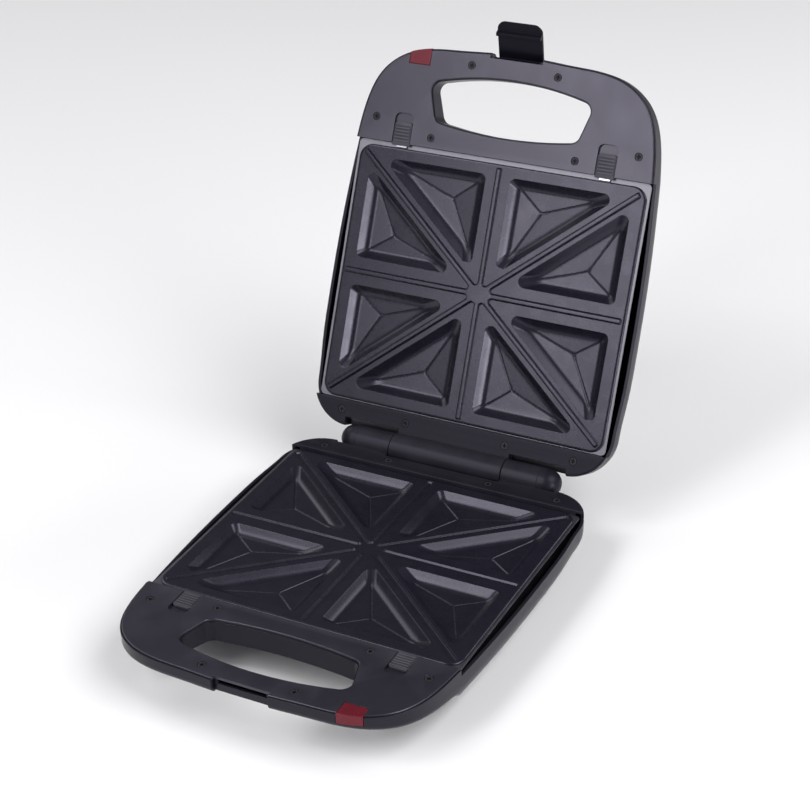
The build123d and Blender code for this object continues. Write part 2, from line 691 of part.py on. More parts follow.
        with BuildPart() as gland:
            with BuildSketch(front(F, -12)):
                with Locations((78, -21)):
                    Circle(7.4)
            extrude(amount=1.5)
            with BuildSketch(front(F, -13)):
                with Locations((78, -21)):
                    Circle(5.4)
            extrude(amount=17)
            with BuildSketch(front(F, -5)):
                with Locations((78, -21)):
                    Circle(3.3)
            extrude(amount=40, mode=Mode.SUBTRACT)
        finish(gland, "cord_gland", PLACE)

        with BuildPart() as terminals:
            box(F, 56, 86, 12, 24, -35.3, -25.3)
            for x in (62, 71, 80):
                with BuildSketch(front(F, 30)):
                    with Locations((x, -30.5)):
                        Circle(1.8)
                extrude(amount=30, mode=Mode.SUBTRACT)
                post(F, [(x, 18)], 1.6, -27, -25, Mode.SUBTRACT)
        finish(terminals, "terminal_block", PLACE)
    else:
        lean = radians(LATCH_LEAN)
        L = Plane(
            origin=F.origin + turn(F, (0, LATCH_V, LATCH_H)),
            x_dir=F.x_dir,
            z_dir=turn(F, (0, -sin(lean), cos(lean))),
        )
        with BuildPart() as latch:
            with BuildSketch(side(L, -LATCH_W / 2)):
                with BuildLine():
                    Polyline(
                        (-0.5, -1.2), (-0.5, -3.6), (28, -3.6), (34.5, -2.6), (34.5, -0.9), (27, -1.2),
                        (25.6, 2.4), (22.9, 2.4), (22.9, -1.2), (2.5, -1.2), close=True,
                    )
                make_face()
                Circle(2.6)
            extrude(amount=LATCH_W)
            with BuildSketch(flat(L, -10)):
                with Locations((0, (LATCH_L - 12) / 2)):
                    RectangleRounded(LATCH_W, LATCH_L + 12, 7)
            extrude(amount=20, mode=Mode.INTERSECT)
            bar(L, -30, 30, 0, 0, 1.56, Mode.SUBTRACT)
        finish(latch, "latch", PLACE)

        with BuildPart() as pin:
            bar(F, -23.1, 23.1, LATCH_V, LATCH_H, 1.5)
        finish(pin, "latch_pin", PLACE)
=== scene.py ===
import math

import bpy
import numpy as np
from mathutils import Matrix, Vector
from mathutils.geometry import delaunay_2d_cdt


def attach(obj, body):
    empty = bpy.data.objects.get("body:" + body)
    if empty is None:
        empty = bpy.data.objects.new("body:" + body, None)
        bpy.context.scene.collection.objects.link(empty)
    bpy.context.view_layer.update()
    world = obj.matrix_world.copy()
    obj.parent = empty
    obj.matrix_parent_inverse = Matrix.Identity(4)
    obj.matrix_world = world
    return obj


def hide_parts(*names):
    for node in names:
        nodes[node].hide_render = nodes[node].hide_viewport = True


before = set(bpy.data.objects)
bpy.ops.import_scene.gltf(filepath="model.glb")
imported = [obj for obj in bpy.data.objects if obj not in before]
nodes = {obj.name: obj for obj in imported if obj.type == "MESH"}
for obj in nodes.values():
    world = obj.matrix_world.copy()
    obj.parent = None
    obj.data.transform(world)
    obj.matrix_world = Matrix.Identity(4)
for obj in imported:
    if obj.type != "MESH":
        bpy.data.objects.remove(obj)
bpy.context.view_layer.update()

scene = bpy.context.scene

# ---------------------------------------------------------------------------
# Frames of the two halves, in metres: x across, v towards the handle,
# h out of the plate's land. The lid's frame is the open one.
# ---------------------------------------------------------------------------
ORIGIN_Y = 0.0559212
OPEN = math.radians(115.14)
AXIS_V, AXIS_H, LAND_GAP, LAND_Z = -0.0353, 0.00165, 0.0056, 0.045
AXIS = np.array([0.0, ORIGIN_Y - AXIS_V, LAND_Z + AXIS_H])


def turned(y, z):
    c, s = math.cos(-OPEN), math.sin(-OPEN)
    return y * c - z * s, y * s + z * c


_oy, _oz = turned(ORIGIN_Y - AXIS[1], LAND_Z + LAND_GAP - AXIS[2])
_ny, _nz = turned(0.0, -1.0)
HALVES = {
    "base": (np.array([0, ORIGIN_Y, LAND_Z]), np.array([[-1.0, 0, 0], [0, -1, 0], [0, 0, 1]])),
    "lid": (
        np.array([0, AXIS[1] + _oy, AXIS[2] + _oz]),
        np.array([[1.0, 0, 0], [0, _nz, -_ny], [0, _ny, _nz]]),
    ),
}


def to_world(half, points):
    """Points in a half's own millimetres to the row frame in metres."""
    origin, axes = HALVES[half]
    return origin + (np.asarray(points, float) / 1000.0) @ axes


# ---------------------------------------------------------------------------
# Camera
# ---------------------------------------------------------------------------
def place_camera():
    az, el, roll = math.radians(28.618), math.radians(29.864), math.radians(-2.6)
    right = Vector((math.cos(az), math.sin(az), 0))
    back = Vector((math.sin(az) * math.cos(el), -math.cos(az) * math.cos(el), math.sin(el)))
    up = back.cross(right)
    c, s = math.cos(roll), math.sin(roll)
    x, y = right * c + up * s, up * c - right * s
    target = Vector((0.008, 0.0036185, 0.148))
    data = bpy.data.cameras.new("camera")
    data.sensor_fit = "HORIZONTAL"
    data.sensor_width = 36.0
    data.lens = 1993.74 * 36.0 / 810.0
    data.clip_start, data.clip_end = 0.05, 50
    cam = bpy.data.objects.new("camera", data)
    scene.collection.objects.link(cam)
    m = Matrix.Identity(4)
    for i, axis in enumerate((x, y, back)):
        for j in range(3):
            m[j][i] = axis[j]
    m.translation = target + back * 1.5485
    cam.matrix_world = m
    scene.camera = cam


place_camera()


# ---------------------------------------------------------------------------
# Materials
# ---------------------------------------------------------------------------
class Nodes:
    """Short way to write a node tree."""

    def __init__(self, tree):
        self.tree = tree
        tree.nodes.clear()

    def add(self, kind, **values):
        node = self.tree.nodes.new(kind)
        for k, v in values.items():
            if hasattr(node, k):
                setattr(node, k, v)
            else:
                node.inputs[k.replace("_", " ").title() if k not in node.inputs else k].default_value = v
        return node

    def link(self, a, b):
        self.tree.links.new(a, b)


def new_material(name, colour, roughness, metallic=0.0, grain=900.0, grain_depth=0.00002, grain_strength=0.25,
                 mottling=0.12, mottle_scale=45.0, edge=0.0003, specular=0.5, coat=0.0, coat_roughness=0.2,
                 transmission=0.0, ior=1.5, brushed=None, edge_sheen=None, tint=(0.86, 0.82, 1.0)):
    """colour is two near colours that the surface drifts between, roughness two values. edge rounds hard edges in the
    light.
    The colour given for raised edges is a painted highlight, laid along edges and ribs in patches."""
    mat = bpy.data.materials.new(name)
    mat.use_nodes = True
    n = Nodes(mat.node_tree)
    out = n.add("ShaderNodeOutputMaterial")
    bsdf = n.add("ShaderNodeBsdfPrincipled")
    n.link(bsdf.outputs[0], out.inputs[0])
    bsdf.inputs["Metallic"].default_value = metallic
    bsdf.inputs["Specular IOR Level"].default_value = specular
    bsdf.inputs["IOR"].default_value = ior
    if metallic < 0.5:
        bsdf.inputs["Specular Tint"].default_value = (*tint, 1)
    bsdf.inputs["Coat Weight"].default_value = coat
    bsdf.inputs["Coat Roughness"].default_value = coat_roughness
    bsdf.inputs["Transmission Weight"].default_value = transmission

    coords = n.add("ShaderNodeTexCoord")
    place = coords.outputs["Object"]
    if brushed:
        mapping = n.add("ShaderNodeMapping")
        mapping.inputs["Scale"].default_value = brushed
        n.link(place, mapping.inputs["Vector"])
        fine_place = mapping.outputs[0]
    else:
        fine_place = place

    drift = n.add("ShaderNodeTexNoise")
    drift.inputs["Scale"].default_value = mottle_scale
    drift.inputs["Detail"].default_value = 4.0
    n.link(place, drift.inputs["Vector"])
    ramp = n.add("ShaderNodeValToRGB")
    ramp.color_ramp.elements[0].position = 0.5 - mottling * 2
    ramp.color_ramp.elements[1].position = 0.5 + mottling * 2
    ramp.color_ramp.elements[0].color = (*colour[0], 1)
    ramp.color_ramp.elements[1].color = (*colour[1], 1)
    n.link(drift.outputs["Fac"], ramp.inputs["Fac"])
    colour_out = ramp.outputs["Color"]

    # Painted highlight: edges with high pointiness are lightened towards the given edge colour, in patches that follow
    # the drift noise.
    if edge_sheen:
        geometry = n.add("ShaderNodeNewGeometry")
        edge_sheen_mask = n.add("ShaderNodeMapRange")
        edge_sheen_mask.inputs["From Min"].default_value = 0.515
        edge_sheen_mask.inputs["From Max"].default_value = 0.60
        edge_sheen_mask.clamp = True
        n.link(geometry.outputs["Pointiness"], edge_sheen_mask.inputs["Value"])
        patchy_edge_sheen = n.add("ShaderNodeMath")
        patchy_edge_sheen.operation = "MULTIPLY"
        n.link(edge_sheen_mask.outputs[0], patchy_edge_sheen.inputs[0])
        n.link(drift.outputs["Fac"], patchy_edge_sheen.inputs[1])
        mix = n.add("ShaderNodeMix")
        mix.data_type = "RGBA"
        n.link(patchy_edge_sheen.outputs[0], mix.inputs["Factor"])
        n.link(colour_out, mix.inputs["A"])
        mix.inputs["B"].default_value = (*edge_sheen, 1)
        colour_out = mix.outputs["Result"]
    n.link(colour_out, bsdf.inputs["Base Color"])

    fine = n.add("ShaderNodeTexNoise")
    fine.inputs["Scale"].default_value = grain
    fine.inputs["Detail"].default_value = 3.0
    n.link(fine_place, fine.inputs["Vector"])

    rough_mix = n.add("ShaderNodeMath")
    rough_mix.operation = "ADD"
    scaled = n.add("ShaderNodeMath")
    scaled.operation = "MULTIPLY"
    scaled.inputs[1].default_value = 0.35
    n.link(fine.outputs["Fac"], scaled.inputs[0])
    scaled2 = n.add("ShaderNodeMath")
    scaled2.operation = "MULTIPLY"
    scaled2.inputs[1].default_value = 0.65
    n.link(drift.outputs["Fac"], scaled2.inputs[0])
    n.link(scaled.outputs[0], rough_mix.inputs[0])
    n.link(scaled2.outputs[0], rough_mix.inputs[1])
    rough = n.add("ShaderNodeMapRange")
    rough.inputs["From Min"].default_value = 0.3
    rough.inputs["From Max"].default_value = 0.7
    rough.inputs["To Min"].default_value = roughness[0]
    rough.inputs["To Max"].default_value = roughness[1]
    n.link(rough_mix.outputs[0], rough.inputs["Value"])
    n.link(rough.outputs[0], bsdf.inputs["Roughness"])

    bump = n.add("ShaderNodeBump")
    bump.inputs["Strength"].default_value = grain_strength
    bump.inputs["Distance"].default_value = grain_depth
    n.link(fine.outputs["Fac"], bump.inputs["Height"])
    if edge:
        bevel = n.add("ShaderNodeBevel")
        bevel.samples = 4
        bevel.inputs["Radius"].default_value = edge
        n.link(bevel.outputs[0], bump.inputs["Normal"])
    n.link(bump.outputs[0], bsdf.inputs["Normal"])
    return mat


MATERIALS = {
    "shell_plastic": new_material(
        "shell_plastic", [(0.0085, 0.0077, 0.0115), (0.0105, 0.0095, 0.0140)], (0.28, 0.38),
        grain=1500, grain_depth=0.00002, grain_strength=0.20, specular=0.24, edge=0.0008),
    # panel: painted highlight along its raised edges
    "panel_plastic": new_material(
        "panel_plastic", [(0.0095, 0.0086, 0.0140), (0.0118, 0.0106, 0.0168)], (0.30, 0.38),
        grain=1700, grain_depth=0.00002, grain_strength=0.24, specular=0.62, edge_sheen=(0.035, 0.033, 0.042)),
    # hinge panel and caps: painted highlight along raised edges
    "hinge_plastic": new_material(
        "hinge_plastic", [(0.0085, 0.0077, 0.0118), (0.0105, 0.0095, 0.0142)], (0.34, 0.44),
        grain=1700, grain_depth=0.00002, grain_strength=0.28, specular=0.16, edge_sheen=(0.022, 0.021, 0.028)),
    # release buttons: painted highlight on the ribs and raised edges
    "button_plastic": new_material(
        "button_plastic", [(0.018, 0.0172, 0.023), (0.022, 0.0210, 0.027)], (0.44, 0.54),
        grain=1500, grain_depth=0.00002, grain_strength=0.25, specular=0.22, edge_sheen=(0.10, 0.097, 0.115)),
    "latch_plastic": new_material(
        "latch_plastic", [(0.0040, 0.0037, 0.0070), (0.0050, 0.0046, 0.0082)], (0.28, 0.36),
        grain=1500, grain_depth=0.00002, grain_strength=0.15, specular=0.12, edge=0.0008),
    "nonstick": new_material(
        "nonstick", [(0.0080, 0.0072, 0.0125), (0.0100, 0.0090, 0.0150)], (0.24, 0.31),
        grain=2300, grain_depth=0.000012, grain_strength=0.35, mottle_scale=70, edge=0.0, specular=0.42),
    "tray_steel": new_material(
        "tray_steel", [(0.15, 0.145, 0.17), (0.20, 0.193, 0.22)], (0.38, 0.48), metallic=1.0,
        grain=400, brushed=(1.0, 14.0, 14.0), grain_depth=0.00001, grain_strength=0.3, edge=0.0004),
    # screws: painted highlight round the head rims
    "screw_steel": new_material(
        "screw_steel", [(0.005, 0.005, 0.007), (0.009, 0.009, 0.011)], (0.34, 0.46), metallic=0.0,
        grain=2500, grain_depth=0.00001, grain_strength=0.3, edge=0.0005, specular=0.15, edge_sheen=(0.05, 0.05, 0.056)),
    "bright_steel": new_material(
        "bright_steel", [(0.52, 0.52, 0.53), (0.60, 0.60, 0.61)], (0.18, 0.30), metallic=1.0,
        grain=700, brushed=(14.0, 1.0, 1.0), grain_depth=0.00001, grain_strength=0.3, edge=0.0002),
    "spring_steel": new_material(
        "spring_steel", [(0.40, 0.40, 0.42), (0.48, 0.48, 0.50)], (0.22, 0.34), metallic=1.0,
        grain=900, grain_depth=0.00001, grain_strength=0.25, edge=0.00015),
    "zinc_steel": new_material(
        "zinc_steel", [(0.50, 0.52, 0.56), (0.62, 0.63, 0.66)], (0.30, 0.45), metallic=1.0,
        grain=1200, grain_depth=0.00001, grain_strength=0.3, edge=0.0002),
    "heater_sheath": new_material(
        "heater_sheath", [(0.10, 0.085, 0.075), (0.16, 0.14, 0.125)], (0.38, 0.55), metallic=0.9,
        grain=600, grain_depth=0.00002, grain_strength=0.3, mottling=0.2, mottle_scale=30, edge=0.0),
    "bakelite": new_material(
        "bakelite", [(0.06, 0.035, 0.022), (0.085, 0.05, 0.03)], (0.32, 0.44),
        grain=1600, grain_depth=0.00002, grain_strength=0.3),
    "ceramic": new_material(
        "ceramic", [(0.72, 0.70, 0.66), (0.80, 0.78, 0.74)], (0.30, 0.42),
        grain=1400, grain_depth=0.00001, grain_strength=0.2, edge=0.0002),
    "terminal_nylon": new_material(
        "terminal_nylon", [(0.62, 0.62, 0.58), (0.70, 0.70, 0.66)], (0.34, 0.46),
        grain=1400, grain_depth=0.00001, grain_strength=0.2, edge=0.0003),
    "rubber": new_material(
        "rubber", [(0.012, 0.012, 0.013), (0.018, 0.018, 0.019)], (0.62, 0.78),
        grain=1300, grain_depth=0.00004, grain_strength=0.5, edge=0.0004, specular=0.4),
    "red_lens": new_material(
        "red_lens", [(0.10, 0.007, 0.014), (0.13, 0.009, 0.018)], (0.22, 0.30),
        grain=700, grain_depth=0.00001, grain_strength=0.12, edge=0.0004, specular=0.4,
        transmission=0.15, ior=1.5, tint=(1.0, 0.62, 0.68)),
    "neon_glass": new_material(
        "neon_glass", [(0.75, 0.50, 0.36), (0.82, 0.58, 0.42)], (0.06, 0.12),
        grain=700, grain_depth=0.00001, grain_strength=0.1, edge=0.0, transmission=0.7, ior=1.47),
}

FINISH = {
    "cover": "shell_plastic", "handle_panel": "panel_plastic", "hinge_panel": "hinge_plastic",
    "panel_screws": "screw_steel", "heat_tray": "tray_steel", "heating_element": "heater_sheath",
    "element_clips": "zinc_steel", "tray_screws": "zinc_steel", "thermostat": "bakelite",
    "thermal_fuse": "ceramic", "cooking_plate": "nonstick", "catch_springs": "spring_steel",
    "catch_screws": "zinc_steel", "release_left": "button_plastic", "release_right": "button_plastic",
    "lens": "red_lens", "neon_lamp": "neon_glass", "feet": "rubber", "hinge_shaft": "bright_steel",
    "hinge_caps": "hinge_plastic", "cord_gland": "rubber", "terminal_block": "terminal_nylon",
    "latch": "latch_plastic", "latch_pin": "bright_steel",
}


def finish_of(node):
    return FINISH.get(node) or FINISH[node.split("_", 1)[1]]


for name, obj in nodes.items():
    obj.data.materials.clear()
    obj.data.materials.append(MATERIALS[finish_of(name)])


# ---------------------------------------------------------------------------
# Cooking plates
# ---------------------------------------------------------------------------
STAR_V = 105.5
PLATE_X, PLATE_V0, PLATE_V1, PLATE_R = 130.0, -3.8, 213.8, 12.0
POCKET_R = 5.5
POCKETS = [
    ([(10.8, 204.4), (109.4, 204.4), (10.8, 123.0)], (40.3, 179.6)),
    ([(118.7, 117.0), (118.7, 196.1), (22.9, 117.0)], (88.9, 139.7)),
]
WALL_DEEP, FACET_DEEP, FACET_INSET = 6.5, 0.55, 6.0
CREASE_W, CREASE_DEEP = 0.95, 0.60
SHEET_T = 1.5
EDGE_W, EDGE_R = 2.4, 1.1


def smooth(a, b, x):
    t = np.clip((np.asarray(x, float) - a) / (b - a), 0, 1)
    return t * t * (3 - 2 * t)


_d = np.linspace(0, 14, 1401)
_w = smooth(-0.1, 0.4, _d) * (1 - smooth(2.4, 10.0, _d))
_W = np.concatenate([[0], np.cumsum((_w[1:] + _w[:-1]) / 2)])
_W /= _W[-1]


def wall(d):
    """Share of the wall's depth at a distance from the rim."""
    return np.interp(d, _d, _W)


def soft_ramp(t, a=0.10):
    t = np.asarray(t, float)
    return np.where(t < -a, 0, np.where(t > a, t, (t + a) ** 2 / (4 * a)))


def inset_triangle(points, inset):
    p = np.array(points, float)
    a, b, c = np.linalg.norm(p[1] - p[2]), np.linalg.norm(p[0] - p[2]), np.linalg.norm(p[0] - p[1])
    middle = (a * p[0] + b * p[1] + c * p[2]) / (a + b + c)
    area2 = abs((p[1] - p[0])[0] * (p[2] - p[0])[1] - (p[2] - p[0])[0] * (p[1] - p[0])[1])
    r = area2 / (a + b + c)
    return middle + (p - middle) * (r - inset) / r


def pocket_mesh(points, apex):
    """Vertices and faces of one pocket, its rim first. Faces wind upwards for a counter-clockwise triangle."""
    p = np.array(points, float)
    if (p[1] - p[0])[0] * (p[2] - p[0])[1] - (p[2] - p[0])[0] * (p[1] - p[0])[1] < 0:
        p = p[::-1].copy()
    apex = np.array(apex, float)
    inner = inset_triangle(p, FACET_INSET)
    # outline: for each corner an arc, then the straight edge to the next corner
    pieces, length = [], 0.0   # (start length, end length, kind, data)
    arcs = []
    for i in range(3):
        prev_dir = p[i] - p[i - 1]
        next_dir = p[(i + 1) % 3] - p[i]
        prev_dir, next_dir = prev_dir / np.linalg.norm(prev_dir), next_dir / np.linalg.norm(next_dir)
        turn = math.acos(np.clip(prev_dir @ next_dir, -1, 1))
        reach = POCKET_R * math.tan(turn / 2)
        start = p[i] - prev_dir * reach
        centre = start + np.array([-prev_dir[1], prev_dir[0]]) * POCKET_R
        a0 = math.atan2(*(start - centre)[::-1])
        arcs.append((centre, a0, turn, p[i] + next_dir * reach, start))
    edge_d = []
    for i in range(3):
        e = p[(i + 1) % 3] - p[i]
        e = e / np.linalg.norm(e)
        normal = np.array([-e[1], e[0]])
        edge_d.append((p[i], normal, float((apex - p[i]) @ normal)))
    for i in range(3):
        centre, a0, turn, leave, _ = arcs[i]
        pieces.append((length, length + POCKET_R * turn, "arc", i))
        length += POCKET_R * turn
        run = np.linalg.norm(arcs[(i + 1) % 3][4] - leave)
        pieces.append((length, length + run, "edge", i))
        length += run
    total = length

    def outline(sigma):
        """Point, and distance of the apex from the edges there."""
        sigma = sigma % total
        for a, b, kind, i in pieces:
            if sigma <= b + 1e-9:
                t = (sigma - a) / (b - a)
                if kind == "arc":
                    centre, a0, turn, _, _ = arcs[i]
                    angle = a0 + turn * t
                    q = t * t * (3 - 2 * t)
                    return (centre + POCKET_R * np.array([math.cos(angle), math.sin(angle)]),
                            edge_d[i - 1][2] * (1 - q) + edge_d[i][2] * q)
                leave, arrive = arcs[i][3], arcs[(i + 1) % 3][4]
                return leave + (arrive - leave) * t, edge_d[i][2]
        raise ValueError

    # where the creases meet the outline
    creases = []
    for i in range(3):
        ray = inner[i] - apex
        a, b = pieces[2 * i][0], pieces[2 * i][1]
        ts = np.linspace(a, b, 401)
        cross = []
        for t in ts:
            q = outline(t)[0] - apex
            cross.append(ray[0] * q[1] - ray[1] * q[0])
        cross = np.array(cross)
        k = int(np.argmax((cross[:-1] <= 0) & (cross[1:] > 0)))
        f = -cross[k] / (cross[k + 1] - cross[k])
        creases.append((ts[k] + f * (ts[k + 1] - ts[k]), ray / np.linalg.norm(ray)))

    beside = [0.22, 0.45, 0.68, 0.95]
    levels = [0, .1, .25, .42, .6, .8, 1.0, 1.3, 1.7, 2.2, 2.8, 3.4, 4.0, 4.6, 5.2, 5.8, 6.4, 7.0, 7.6, 8.2, 8.8, 9.6,
              11, 13, 15.5, 18, 20.5, 22.5, 24, 25.2]
    mean_d = float(np.mean([e[2] for e in edge_d]))
    columns = []          # (sector, kind, value)
    spans = []
    for i in range(3):
        s0 = creases[i][0]
        s1 = creases[(i + 1) % 3][0]
        if s1 <= s0:
            s1 += total
        a1, b1 = s0 + beside[-1], s1 - beside[-1]
        arc_end = pieces[2 * i][1]
        nxt = (i + 1) % 3
        arc_start = pieces[2 * nxt][0] + (total if nxt == 0 else 0)
        mids = list(np.linspace(a1, arc_end, 6)[1:]) + list(np.linspace(arc_end, arc_start, 7)[1:-1]) \
            + list(np.linspace(arc_start, b1, 6)[:-1])
        spans.append((s0, s1, a1, b1))
        columns.append((i, "out", 0.0))
        columns += [(i, "out", e) for e in beside]
        columns += [(i, "mid", (m - a1) / (b1 - a1)) for m in mids]
        columns += [(i, "in", e) for e in beside[::-1]]
    verts, rim = [], []
    for level in levels:
        s = 1 - level / mean_d
        s_eff = max(s, 0.05)
        for i, kind, value in columns:
            s0, s1, a1, b1 = spans[i]
            if kind == "out":
                sigma = s0 + value / s_eff
            elif kind == "in":
                sigma = s1 - value / s_eff
            else:
                a, b = s0 + beside[-1] / s_eff, s1 - beside[-1] / s_eff
                sigma = a + value * (b - a)
            edge_point, big_d = outline(sigma)
            q = apex + s * (edge_point - apex)
            start, normal, d_i = edge_d[i]
            u = (d_i - float((q - start) @ normal)) / (d_i - FACET_INSET)
            d = (1 - s) * big_d
            h = -WALL_DEEP * float(wall(d)) - FACET_DEEP * float(soft_ramp(1 - u))
            e = min(abs((q - apex)[0] * ray[1] - (q - apex)[1] * ray[0])
                    if (q - apex) @ ray > 0 else 9.0 for _, ray in creases)
            if e < CREASE_W:
                h -= CREASE_DEEP * 0.5 * (1 + math.cos(math.pi * e / CREASE_W)) * float(smooth(5.0, 8.6, d))
            if level == 0:
                h = 0.0
            verts.append((q[0], q[1], h))
    verts.append((apex[0], apex[1], -WALL_DEEP - FACET_DEEP - CREASE_DEEP * 0.6))
    n = len(columns)
    faces = []
    for j in range(len(levels) - 1):
        for c in range(n):
            d = (c + 1) % n
            faces.append((j * n + c, j * n + d, (j + 1) * n + d, (j + 1) * n + c))
    last = (len(levels) - 1) * n
    for c in range(n):
        faces.append((last + c, last + (c + 1) % n, len(verts) - 1))
    return np.array(verts), faces, n


def star_loops(steps, notch=1.8, tip=1.75):
    """Closed loops round the eight arms, one for each (half width, height), parallel to each other."""
    w0 = steps[0][0]
    angles = [0, 39.56, 90, 140.44, 180, 219.56, 270, 320.44]
    ends = [127.2, 161.3, 105.5, 161.3, 127.2, 162.0, 106.5, 162.0]
    loops = []
    for w, h in steps:
        less = w0 - w
        loop = []
        for k, (angle, end) in enumerate(zip(angles, ends)):
            a = math.radians(angle)
            u, n = np.array([math.cos(a), math.sin(a)]), np.array([-math.sin(a), math.cos(a)])
            r = tip - less
            for side in (-1, 1):
                centre = u * (end - tip) + side * n * (w0 - tip)
                for t in np.linspace(0, 1, 6):
                    t = math.radians(90 * t)
                    d = (side * n * math.cos(t) + u * math.sin(t)) if side < 0 else (u * math.cos(t) + n * math.sin(t))
                    loop.append(centre + d * r)
            b = math.radians(angles[(k + 1) % 8] + (360 if k == 7 else 0))
            half = (b - a) / 2
            nb = np.array([-math.sin(b), math.cos(b)])
            mid = a + half
            centre = np.array([math.cos(mid), math.sin(mid)]) * (w0 + notch) / math.sin(half)
            rho = notch + less
            g0, g1 = math.atan2(-n[1], -n[0]), math.atan2(nb[1], nb[0])
            # the short way round, through the side that faces the middle
            turn = (g1 - g0 + math.pi) % (2 * math.pi) - math.pi
            for t in np.linspace(0, 1, 9):
                g = g0 + turn * t
                loop.append(centre + rho * np.array([math.cos(g), math.sin(g)]))
        loops.append([(x, y + STAR_V, h) for x, y in loop])
    return np.array(loops)


def plate_outline(inset, h, per_corner=9):
    cx, cv = PLATE_X - PLATE_R, (PLATE_V1 - PLATE_V0) / 2 - PLATE_R
    mid = (PLATE_V0 + PLATE_V1) / 2
    r = PLATE_R - inset
    loop = []
    for k, (sx, sv) in enumerate(((1, 1), (-1, 1), (-1, -1), (1, -1))):
        for t in np.linspace(0, 90, per_corner):
            a = math.radians(90 * k + t)
            loop.append((sx * cx + r * math.cos(a), mid + sv * cv + r * math.sin(a), h))
    return np.array(loop)


def inside(loop, points):
    """Which points lie inside a closed loop, both in the plane."""
    x, y = points[:, 0], points[:, 1]
    hit = np.zeros(len(points), bool)
    a = loop[:, :2]
    b = np.roll(a, -1, axis=0)
    for (x0, y0), (x1, y1) in zip(a, b):
        if y0 == y1:
            continue
        crosses = (y0 > y) != (y1 > y)
        hit ^= crosses & (x < (x1 - x0) * (y - y0) / (y1 - y0) + x0)
    return hit


def cdt(loops):
    """Triangles between closed loops: their plane points, in order, and every triangle of the hull."""
    points = [Vector((float(p[0]), float(p[1]))) for loop in loops for p in loop]
    edges, start = [], 0
    for loop in loops:
        edges += [(start + i, start + (i + 1) % len(loop)) for i in range(len(loop))]
        start += len(loop)
    vs, _, faces, origin, _, _ = delaunay_2d_cdt(points, edges, [], 0, 1e-7)
    exact = np.vstack([np.asarray(loop)[:, :2] for loop in loops])
    return np.array([exact[o[0]] if o else (v.x, v.y) for v, o in zip(vs, origin)]), [tuple(f) for f in faces]


